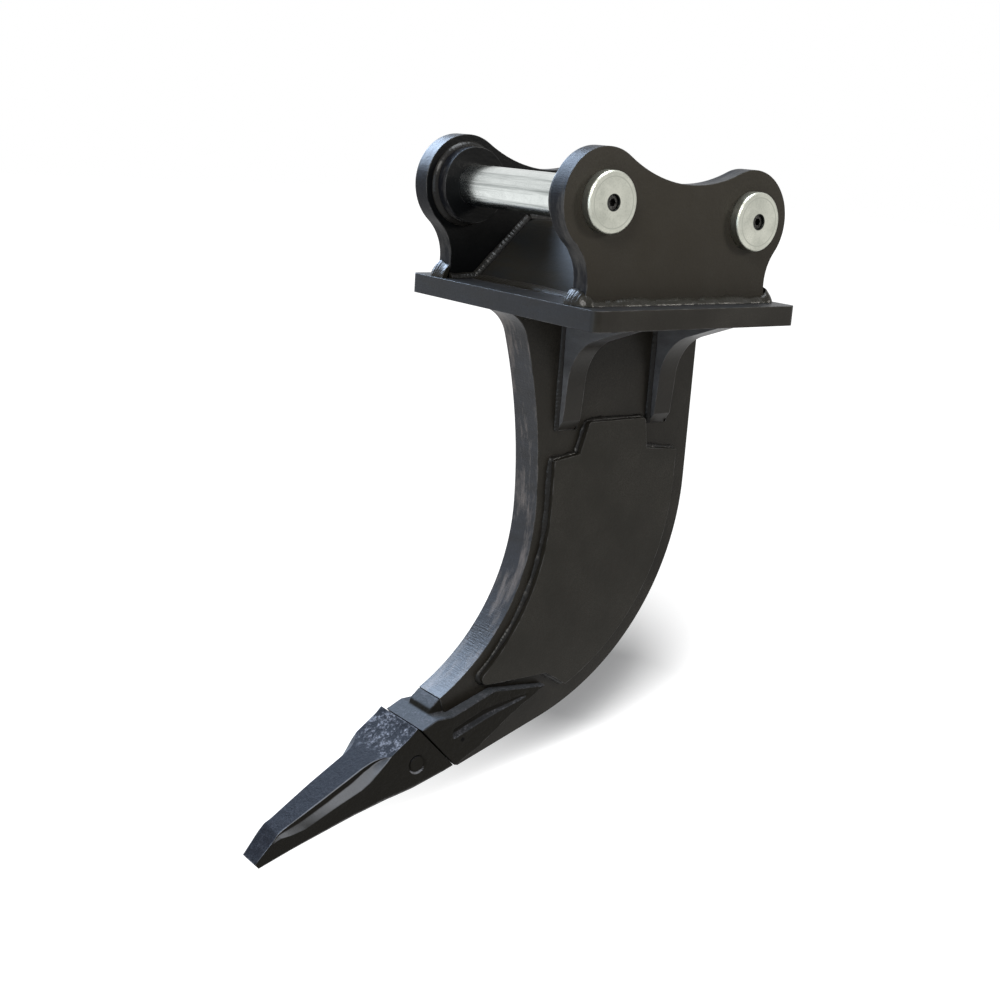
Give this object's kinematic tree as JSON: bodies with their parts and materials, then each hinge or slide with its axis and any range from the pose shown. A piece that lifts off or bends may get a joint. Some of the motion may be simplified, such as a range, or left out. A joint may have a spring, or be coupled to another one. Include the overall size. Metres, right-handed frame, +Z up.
{
  "type": "excavator ripper with shank and tooth",
  "caption": "Single-shank ripper for an excavator: two pin ears on a base plate, a curved blade with doubler plates below it, and a pinned cast tooth.",
  "frame": {"origin": "centre of the front pin, which the machine's arm carries", "axes": "+X along the pins towards the left ear, +Y from the front pin towards the rear pin (the tooth points to -Y), +Z up from the tooth towards the pins"},
  "size_m": [0.362, 0.634, 0.8442],
  "materials": {
    "black_paint": "satin",
    "zinc_plate": "satin",
    "cast_steel": "rough",
    "bolt_steel": "satin"
  },
  "bodies": {
    "root": {"adapter": "cast_steel", "base_plate": "black_paint", "brace": "black_paint", "brace_welds": "black_paint", "cap_bolts": "bolt_steel", "doubler_left": "black_paint", "doubler_right": "black_paint", "ear_left": "black_paint", "ear_right": "black_paint", "ear_weld_left": "black_paint", "ear_weld_right": "black_paint", "front_boss_left": "black_paint", "front_boss_right": "black_paint", "front_cap_left": "zinc_plate", "front_cap_right": "zinc_plate", "front_gusset_left": "black_paint", "front_gusset_right": "black_paint", "front_pin": "zinc_plate", "rear_boss_left": "black_paint", "rear_boss_right": "black_paint", "rear_cap_left": "zinc_plate", "rear_cap_right": "zinc_plate", "rear_gusset_left": "black_paint", "rear_gusset_right": "black_paint", "rear_pin": "zinc_plate", "shank": "black_paint", "tooth_pin": "bolt_steel", "tooth_pin_retainer": "bolt_steel", "tooth_point": "cast_steel"}
  },
  "joints": []
}
